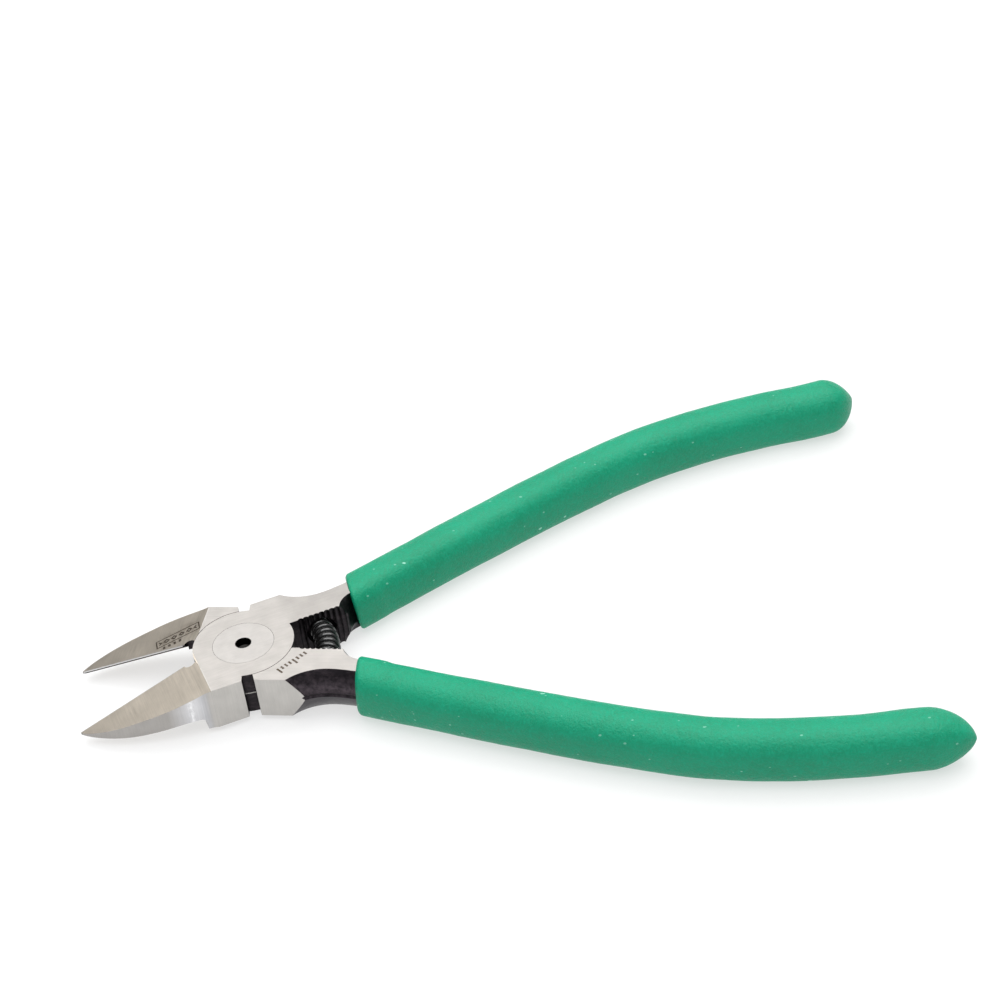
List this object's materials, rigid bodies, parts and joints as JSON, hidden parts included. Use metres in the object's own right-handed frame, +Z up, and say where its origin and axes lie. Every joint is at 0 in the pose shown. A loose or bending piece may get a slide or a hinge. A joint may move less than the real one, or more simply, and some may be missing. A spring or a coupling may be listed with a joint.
{
  "type": "flush cut pliers",
  "caption": "Flush cut pliers with a lap joint, tapered flush blades, a coil opening spring and bowed handles in dipped plastic sleeves.",
  "frame": {"origin": "on the pivot axis, at the flat underside of the joint", "axes": "+X along the line between the handles, away from the jaws; +Z up the pivot axis; +Y towards the handle of the upper half"},
  "size_m": [0.1408, 0.1, 0.01],
  "materials": {
    "ground_steel": "satin ground faces, black oxide on the forged necks",
    "rivet_steel": "satin ground flush with the joint",
    "spring_steel": "black oxide, oiled",
    "grip_vinyl": "satin dipped vinyl"
  },
  "bodies": {
    "lower_half": {"lever_lower": "ground_steel", "pivot_rivet": "rivet_steel", "return_spring": "spring_steel", "grip_lower": "grip_vinyl"},
    "upper_half": {"lever_upper": "ground_steel", "grip_upper": "grip_vinyl"}
  },
  "joints": [
    {"name": "jaw_pivot", "type": "hinge", "parent": "lower_half", "child": "upper_half", "pos_m": [0, 0, 0], "axis": [0, 0, 1], "range_deg": [-30.6, 11], "stiffness_Nm_per_rad": 0.27, "deforming": ["return_spring"]}
  ]
}
